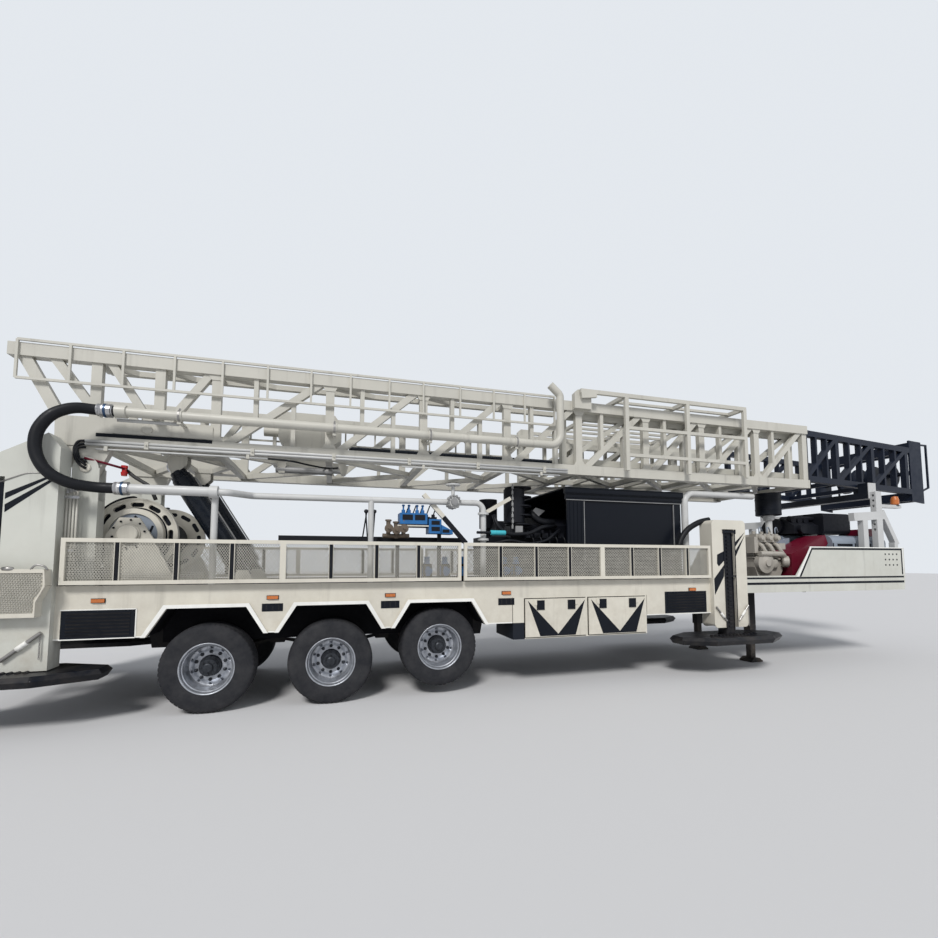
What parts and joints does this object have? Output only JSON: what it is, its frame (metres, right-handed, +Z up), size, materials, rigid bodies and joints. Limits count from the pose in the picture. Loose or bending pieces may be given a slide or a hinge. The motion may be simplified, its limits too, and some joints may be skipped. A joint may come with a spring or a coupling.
{
  "type": "rotary drilling rig",
  "caption": "Trailer-mounted rotary drilling rig with a telescopic lattice mast laid forward, raising rams, jacks, drawworks and fold-out walkways.",
  "frame": {"origin": "on the ground under the middle of the overall length and width", "axes": "+X forward towards the gooseneck and the mast's tip, +Y to the rig's left, +Z up"},
  "size_m": [16.5305, 3.31, 4.4729],
  "materials": {
    "cream_paint": "satin",
    "black_paint": "satin",
    "maroon_paint": "gloss",
    "grey_paint": "satin",
    "engine_paint": "satin",
    "dark_deck": "matt",
    "bare_steel": "worn",
    "ram_chrome": "polished",
    "pipe_aluminium": "satin",
    "valve_blue": "satin",
    "tyre_rubber": "matt",
    "hose_rubber": "matt",
    "amber_lens": "gloss"
  },
  "bodies": {
    "chassis": {"frame_rails": "black_paint", "cross_members": "black_paint", "deck_plate": "dark_deck", "side_skirts": "cream_paint", "arch_liners": "black_paint", "locker_boxes": "dark_deck", "neck_side_panels": "cream_paint", "kingpin_plate": "bare_steel", "landing_legs": "black_paint", "axles": "black_paint", "front_jack_columns": "cream_paint", "rear_jack_housings": "cream_paint", "mast_pedestal": "cream_paint", "drawworks_frame": "cream_paint", "main_engine": "engine_paint", "engine_canopy": "black_paint", "mud_line": "cream_paint", "control_stand": "valve_blue", "exhaust_pipe": "pipe_aluminium", "front_mast_rest": "cream_paint", "deck_engine": "cream_paint", "drive_guard": "maroon_paint", "tank_housing": "grey_paint", "rear_guards": "cream_paint", "amber_lamps": "amber_lens", "rear_lamp_bar": "black_paint", "power_unit": "black_paint", "mud_hose": "hose_rubber"},
    "wheel_rear_right": {"wheel_rear_right": "tyre_rubber"},
    "wheel_rear_left": {"wheel_rear_left": "tyre_rubber"},
    "wheel_middle_right": {"wheel_middle_right": "tyre_rubber"},
    "wheel_middle_left": {"wheel_middle_left": "tyre_rubber"},
    "wheel_front_right": {"wheel_front_right": "tyre_rubber"},
    "wheel_front_left": {"wheel_front_left": "tyre_rubber"},
    "jack_front_right": {"jack_front_right": "black_paint"},
    "walkway_front_right": {"walkway_front_right": "cream_paint"},
    "locker_door_front_right": {"locker_door_front_right": "cream_paint"},
    "jack_front_left": {"jack_front_left": "black_paint"},
    "walkway_front_left": {"walkway_front_left": "cream_paint"},
    "locker_door_front_left": {"locker_door_front_left": "cream_paint"},
    "jack_rear_right": {"jack_rear_right": "black_paint"},
    "walkway_rear_right": {"walkway_rear_right": "cream_paint"},
    "locker_door_rear_right": {"locker_door_rear_right": "cream_paint"},
    "jack_rear_left": {"jack_rear_left": "black_paint"},
    "walkway_rear_left": {"walkway_rear_left": "cream_paint"},
    "locker_door_rear_left": {"locker_door_rear_left": "cream_paint"},
    "drum": {"drawworks_drum": "cream_paint"},
    "mast": {"mast_sides": "cream_paint", "mast_floor": "cream_paint", "mast_top_flanges": "cream_paint", "side_rail_frames": "cream_paint", "standpipe": "cream_paint", "travelling_block": "cream_paint"},
    "upper_mast": {"upper_sides": "cream_paint", "upper_floor": "cream_paint", "crown": "black_paint"},
    "board": {"board_frames": "cream_paint", "racking_board": "cream_paint"},
    "ram_barrels": {"ram_barrels": "black_paint"},
    "ram_rods": {"ram_rods": "ram_chrome"}
  },
  "joints": [
    {"name": "wheel_rear_right_spin", "type": "hinge", "parent": "chassis", "child": "wheel_rear_right", "pos_m": [-5.085, 0, 0.525], "axis": [0, 1, 0], "continuous": true},
    {"name": "wheel_rear_left_spin", "type": "hinge", "parent": "chassis", "child": "wheel_rear_left", "pos_m": [-5.085, 0, 0.525], "axis": [0, 1, 0], "continuous": true},
    {"name": "wheel_middle_right_spin", "type": "hinge", "parent": "chassis", "child": "wheel_middle_right", "pos_m": [-3.675, 0, 0.525], "axis": [0, 1, 0], "continuous": true},
    {"name": "wheel_middle_left_spin", "type": "hinge", "parent": "chassis", "child": "wheel_middle_left", "pos_m": [-3.675, 0, 0.525], "axis": [0, 1, 0], "continuous": true},
    {"name": "wheel_front_right_spin", "type": "hinge", "parent": "chassis", "child": "wheel_front_right", "pos_m": [-2.265, 0, 0.645], "axis": [0, 1, 0], "continuous": true},
    {"name": "wheel_front_left_spin", "type": "hinge", "parent": "chassis", "child": "wheel_front_left", "pos_m": [-2.265, 0, 0.645], "axis": [0, 1, 0], "continuous": true},
    {"name": "drum_spin", "type": "hinge", "parent": "chassis", "child": "drum", "pos_m": [-6.063, 0, 2.125], "axis": [0, 1, 0], "continuous": true},
    {"name": "mast_raise", "type": "hinge", "parent": "chassis", "child": "mast", "pos_m": [-6.455, 0, 2.88], "axis": [0, -1, 0], "range_deg": [0, 90], "deforming": ["mud_hose"]},
    {"name": "mast_extend", "type": "slide", "parent": "mast", "child": "upper_mast", "axis": [1, 0, 0], "range_m": [0, 4]},
    {"name": "board_fold", "type": "hinge", "parent": "mast", "child": "board", "pos_m": [0.015, 0, 4.365], "axis": [0, -1, 0], "range_deg": [0, 90]},
    {"name": "ram_tilt", "type": "hinge", "parent": "chassis", "child": "ram_barrels", "pos_m": [-4.825, 0, 1.64], "axis": [0, -1, 0], "range_deg": [0, 9.5]},
    {"name": "ram_extend", "type": "slide", "parent": "ram_barrels", "child": "ram_rods", "axis": [-0.5289, 0, 0.8487], "range_m": [0, 1.06]},
    {"name": "jack_front_right_lower", "type": "slide", "parent": "chassis", "child": "jack_front_right", "axis": [0, 0, -1], "range_m": [0, 0.6]},
    {"name": "jack_front_left_lower", "type": "slide", "parent": "chassis", "child": "jack_front_left", "axis": [0, 0, -1], "range_m": [0, 0.6]},
    {"name": "jack_rear_right_lower", "type": "slide", "parent": "chassis", "child": "jack_rear_right", "axis": [0, 0, -1], "range_m": [0, 0.6]},
    {"name": "jack_rear_left_lower", "type": "slide", "parent": "chassis", "child": "jack_rear_left", "axis": [0, 0, -1], "range_m": [0, 0.6]},
    {"name": "walkway_front_right_fold", "type": "hinge", "parent": "chassis", "child": "walkway_front_right", "pos_m": [0.085, -1.395, 1.53], "axis": [1, 0, 0], "range_deg": [0, 90]},
    {"name": "walkway_front_left_fold", "type": "hinge", "parent": "chassis", "child": "walkway_front_left", "pos_m": [0.085, 1.395, 1.53], "axis": [-1, 0, 0], "range_deg": [0, 90]},
    {"name": "walkway_rear_right_fold", "type": "hinge", "parent": "chassis", "child": "walkway_rear_right", "pos_m": [-4.265, -1.395, 1.53], "axis": [1, 0, 0], "range_deg": [0, 90]},
    {"name": "walkway_rear_left_fold", "type": "hinge", "parent": "chassis", "child": "walkway_rear_left", "pos_m": [-4.265, 1.395, 1.53], "axis": [-1, 0, 0], "range_deg": [0, 90]},
    {"name": "locker_door_front_right_swing", "type": "hinge", "parent": "chassis", "child": "locker_door_front_right", "pos_m": [0.455, -1.324, 0.725], "axis": [1, 0, 0], "range_deg": [0, 90]},
    {"name": "locker_door_front_left_swing", "type": "hinge", "parent": "chassis", "child": "locker_door_front_left", "pos_m": [0.455, 1.324, 0.725], "axis": [-1, 0, 0], "range_deg": [0, 90]},
    {"name": "locker_door_rear_right_swing", "type": "hinge", "parent": "chassis", "child": "locker_door_rear_right", "pos_m": [-0.565, -1.324, 0.725], "axis": [1, 0, 0], "range_deg": [0, 90]},
    {"name": "locker_door_rear_left_swing", "type": "hinge", "parent": "chassis", "child": "locker_door_rear_left", "pos_m": [-0.565, 1.324, 0.725], "axis": [-1, 0, 0], "range_deg": [0, 90]}
  ],
  "couplings": [
    {"joint": "ram_tilt", "follows": "mast_raise", "ratio": 0.10485},
    {"joint": "ram_extend", "follows": "mast_raise", "m_per_rad": 0.66986}
  ]
}
